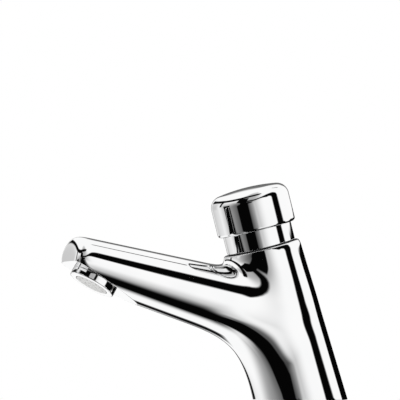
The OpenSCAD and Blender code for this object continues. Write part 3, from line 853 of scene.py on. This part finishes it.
# Studio: a white room with dark flags round the tap, seen only in reflections.
# Each flag is an outline of (azimuth, elevation) in degrees, the width of its soft edge and its darkness.
# Azimuth 0 looks to -Y and 90 to +X.
FLAGS = [
    # left flag, running under the tap
    ([(-70, 40), (-70, 10), (-58, 5), (-57, -6), (-66, -16), (-57, -34), (-54, -46), (-55, -60),
        (-53, -75), (-45, -89), (6, -89), (2, -70), (-2, -60), (-8, -52), (-14, -44), (-19, -36),
        (-23, -27), (-26, -18), (-32, -12), (-31, -9.5), (-21, -6), (-19.5, -2), (-20, 3.5),
        (-38, 4.5), (-38, 40)], 3, 1.0),
    # strip under the ceiling
    ([(-181, 12), (-165, 16), (-150, 20), (-130, 22), (-118, 24), (-100, 26), (-90, 27),
        (-75, 30), (-62, 38), (-45, 43), (-25, 47), (-10, 50), (-2, 53), (2, 57), (8, 60.5),
        (8, 64), (-10, 65.5), (-25, 64.5), (-45, 61), (-62, 56), (-75, 51), (-90, 46), (-106, 41),
        (-120, 37), (-135, 35), (-150, 31), (-165, 26), (-181, 20)], 4, 1.0),
    # slanting flag with the right flag
    ([(-40, 6.8), (-22, 6.8), (-17, 7.5), (-12, 9.5), (-4, 15), (3, 18.8), (10, 20.3), (16, 20.3),
        (21, 19.4), (24, 20.8), (26, 22.4), (28.5, 24.2), (30, 24.5), (36, 22), (40, 10),
        (41, -6), (46, -20), (80, -22), (76, -6), (70, 4), (66, 8), (61, 12), (61, 38), (55, 45),
        (50, 47.5), (45, 47.5), (41, 47.2), (36, 46.5), (30, 45.5), (25, 44), (20, 42), (10, 36),
        (0, 29), (-10, 23), (-20, 18), (-28, 17.5), (-40, 18)], 4, 1.0),
    # dark floor in front
    ([(-60, -51), (-10, -53), (5, -56), (10, -52), (20, -51), (60, -56), (100, -68), (130, -78),
        (165, -82), (190, -82), (190, -100), (-60, -100)], 26, 1.0),
    ([(-190, -82), (-60, -82), (-60, -100), (-190, -100)], 24, 1.0),
    ([(-5, -34), (60, -34), (60, -100), (-5, -100)], 40, 0.4),
    # grey wall at the left
    ([(-30, 10), (-30, -56), (-80, -56), (-80, 10)], 50, 0.65),
    ([(-30, 10), (-30, -66), (-118, -66), (-118, 10)], 60, 0.66),
    # grey shade right of the left flag, wide above and narrow below
    ([(-60, 80), (-5, 80), (-5, -10), (-60, -10)], 46, 0.55),
    ([(-60, -8.5), (-19, -8.5), (-18, -13), (-16, -19), (-12.5, -27.5), (-8.5, -36), (-4, -46),
        (1, -55), (-60, -55)], 14, 0.88),
    # low flag at the right
    ([(50, -13), (92, -13.5), (130, -14), (146, -16), (146, -50), (100, -64), (60, -60),
        (50, -40)], 4, 1.0),
    # low flag behind
    ([(146, -8), (146, -50), (178, -48), (176, -30), (168, -28), (164, -23), (163, -8)], 10, 1.0),
    # low line behind the tap
    ([(150, -6), (182, -6), (182, -14), (172, -13.5), (150, -12)], 3, 1.0),
    ([(-182, -6), (-165, -8), (-164, -11.5), (-176, -14), (-182, -14)], 3, 1.0),
    # narrow flags far left
    ([(-113, 1), (-90, 1), (-89, -18.5), (-112, -18.5)], 3, 1.0),
    ([(-129, 0), (-128, 20), (-125, 26), (-117, 26), (-120, 14), (-121, 0)], 3, 1.0),
    # grey wall far left
    ([(-190, -12), (-140, -12), (-140, 18), (-190, 18)], 30, 0.4),
    # backdrop behind the tap
    ([(172, -4), (150, -12), (138, -6), (132, 10), (136, 30), (152, 34), (164, 20),
        (172, 8)], 8, 0.85),
    # small flag high at the right, the thin line along the spout's top
    ([(109, 49), (115, 49), (115, 62), (109, 62)], 3, 1.0),
]
NEAR_FLAGS = [
    # flag close to the barrel's right side, too low for the button to see
    ([(92.2, -30), (92.2, 16.2), (150, 16.2), (150, -30)], 1.5, 1.0),
]

# Spheres that carry the flags: their centre and radii in metres, and the steps of their meshes in degrees
FLAGS_AT = (-0.03, 0, 0.06)
STUDIO_R = 6.0
STUDIO_STEP = 1.0
NEAR_R = 0.3
NEAR_STEP = 0.5
FLAG_BLACK = 0.0015


def cover(az, el, points, soft):
    """How far each direction lies inside an outline, from 0 to 1 across its soft edge"""
    pts = np.array(points, float)
    least = np.full(az.shape, 1e9)
    inside = np.zeros(az.shape, bool)
    for (x0, y0), (x1, y1) in zip(pts, np.roll(pts, -1, 0)):
        dx, dy = x1 - x0, y1 - y0
        t = np.clip(((az - x0) * dx + (el - y0) * dy) / (dx * dx + dy * dy), 0, 1)
        least = np.minimum(least, np.hypot(az - x0 - t * dx, el - y0 - t * dy))
        if y0 != y1:
            inside ^= ((y0 > el) != (y1 > el)) & (az < x0 + (el - y0) * dx / dy)
    signed = np.where(inside, least, -least)
    return ease(signed / soft + 0.5)


def flag_mesh(name, outlines, radius, step):
    """A sphere round the tap, with faces only where there is some dark"""
    az, el = np.meshgrid(np.arange(-180, 180 + step / 2, step), np.arange(-90, 90 + step / 2, step))
    left = np.ones(az.shape)
    for points, soft, dark in outlines:
        left *= 1 - dark * cover(az, el, points, soft)
    a = np.radians(az)
    e = np.radians(el)
    points = radius * np.stack([np.sin(a) * np.cos(e), -np.cos(a) * np.cos(e), np.sin(e)], -1)
    rows, wide = az.shape
    faces = []
    for i in range(rows - 1):
        for j in range(wide - 1):
            if left[i:i + 2, j:j + 2].min() < 1:
                low = i * wide + j
                faces.append((low, low + 1, low + wide + 1, low + wide))
    mesh = bpy.data.meshes.new(name)
    mesh.from_pydata(points.reshape(-1, 3).tolist(), [], faces)
    dark = mesh.attributes.new("dark", "FLOAT", "POINT")
    dark.data.foreach_set("value", (1 - left).ravel().astype(np.float32))
    mesh.shade_smooth()
    return mesh


def flag_material(name):
    """Black where the mesh is dark and clear where it is not"""
    material, nodes, links = node_material(name)
    nodes.clear()
    amount = nodes.new("ShaderNodeAttribute")
    amount.attribute_name = "dark"
    clear = nodes.new("ShaderNodeBsdfTransparent")
    black = nodes.new("ShaderNodeEmission")
    black.inputs["Color"].default_value = (FLAG_BLACK, FLAG_BLACK, FLAG_BLACK, 1)
    mixed = nodes.new("ShaderNodeMixShader")
    out = nodes.new("ShaderNodeOutputMaterial")
    links.new(amount.outputs["Fac"], mixed.inputs["Fac"])
    links.new(clear.outputs["BSDF"], mixed.inputs[1])
    links.new(black.outputs["Emission"], mixed.inputs[2])
    links.new(mixed.outputs["Shader"], out.inputs["Surface"])
    return material


def build_flags(name, outlines, radius, step):
    """Flags that only reflections see"""
    mesh = flag_mesh(name, outlines, radius, step)
    mesh.materials.append(flag_material(name))
    flags = add_object(name, mesh)
    flags.location = FLAGS_AT
    flags.visible_camera = False
    flags.visible_diffuse = False
    flags.visible_shadow = False
    flags.visible_transmission = False


def seen_directly(nodes, links):
    """1 for camera, glossy and transmission rays"""
    path = nodes.new("ShaderNodeLightPath")
    total = None
    for ray in ("Is Camera Ray", "Is Glossy Ray", "Is Transmission Ray"):
        if total is None:
            total = path.outputs[ray]
            continue
        either = nodes.new("ShaderNodeMath")
        either.operation = "MAXIMUM"
        links.new(total, either.inputs[0])
        links.new(path.outputs[ray], either.inputs[1])
        total = either.outputs["Value"]
    return total


# Room: strengths of its white for soft light and as seen, its floor in metres, and one soft lamp
ROOM_SOFT = 0.85
ROOM_SEEN = 1.0
FLOOR_Z = -0.0565
FLOOR_R = 1.2
FLOOR_SIDES = 96
FLOOR_TONE = 0.95
FLOOR_ROUGH = 0.9
FLOOR_GLOW = 0.5
LAMP_POWER = 9
LAMP_SIZE = 1.2
LAMP_AT = (-0.9, -1.2, 1.6)
LAMP_TO = (-0.03, 0, 0.05)


def build_world():
    world = bpy.data.worlds.new("white_room")
    bpy.context.scene.world = world
    world.use_nodes = True
    nodes = world.node_tree.nodes
    links = world.node_tree.links
    background = nodes["Background"]
    background.inputs["Color"].default_value = (1, 1, 1, 1)
    strength = nodes.new("ShaderNodeMapRange")
    strength.inputs["To Min"].default_value = ROOM_SOFT
    strength.inputs["To Max"].default_value = ROOM_SEEN
    links.new(seen_directly(nodes, links), strength.inputs["Value"])
    links.new(strength.outputs["Result"], background.inputs["Strength"])


def floor_material():
    """A pale surface that glows a little, so that it stays white and keeps the shadow"""
    material, nodes, links = node_material("floor")
    shader = nodes["Principled BSDF"]
    shader.inputs["Base Color"].default_value = (FLOOR_TONE, FLOOR_TONE, FLOOR_TONE, 1)
    shader.inputs["Roughness"].default_value = FLOOR_ROUGH
    white = nodes.new("ShaderNodeEmission")
    mixed = nodes.new("ShaderNodeMixShader")
    mixed.inputs["Fac"].default_value = FLOOR_GLOW
    out = nodes["Material Output"]
    links.new(shader.outputs["BSDF"], mixed.inputs[1])
    links.new(white.outputs["Emission"], mixed.inputs[2])
    links.new(mixed.outputs["Shader"], out.inputs["Surface"])
    return material


def build_floor():
    bm = bmesh.new()
    bmesh.ops.create_circle(bm, cap_ends=True, segments=FLOOR_SIDES, radius=FLOOR_R)
    mesh = bpy.data.meshes.new("floor")
    bm.to_mesh(mesh)
    bm.free()
    mesh.materials.append(floor_material())
    floor = add_object("floor", mesh)
    floor.location = (0, 0, FLOOR_Z)
    floor.visible_glossy = False
    floor.visible_diffuse = False


def look_along(direction):
    """The turn of a lamp or camera that faces a direction"""
    return direction.to_track_quat("-Z", "Y").to_euler()


def build_lamp():
    light = bpy.data.lights.new("soft_lamp", "AREA")
    light.energy = LAMP_POWER
    light.size = LAMP_SIZE
    lamp = add_object("soft_lamp", light)
    lamp.location = LAMP_AT
    lamp.rotation_euler = look_along(Vector(LAMP_TO) - lamp.location)
    lamp.visible_glossy = False
    lamp.visible_camera = False


# Camera, from the photo: metres and radians, with the lens and the sensor in millimetres
CAMERA_AT = (-0.45399, -0.89101, 0.035)
CAMERA_TURN = 0.417479
CAMERA_PITCH = 0.07344
CAMERA_LENS = 164.7
CAMERA_SENSOR = 36
CAMERA_SIGHT = 50


def build_camera():
    data = bpy.data.cameras.new("camera")
    data.lens = CAMERA_LENS
    data.sensor_width = CAMERA_SENSOR
    data.clip_end = CAMERA_SIGHT
    camera = add_object("camera", data)
    level = math.cos(CAMERA_PITCH)
    ahead = (math.sin(CAMERA_TURN) * level, math.cos(CAMERA_TURN) * level, math.sin(CAMERA_PITCH))
    camera.location = CAMERA_AT
    camera.rotation_euler = look_along(Vector(ahead))
    bpy.context.scene.camera = camera


build_flags("studio_flags", FLAGS, STUDIO_R, STUDIO_STEP)
build_flags("near_flags", NEAR_FLAGS, NEAR_R, NEAR_STEP)
build_world()
build_floor()
build_lamp()
build_camera()
bpy.context.scene.view_settings.view_transform = "Standard"
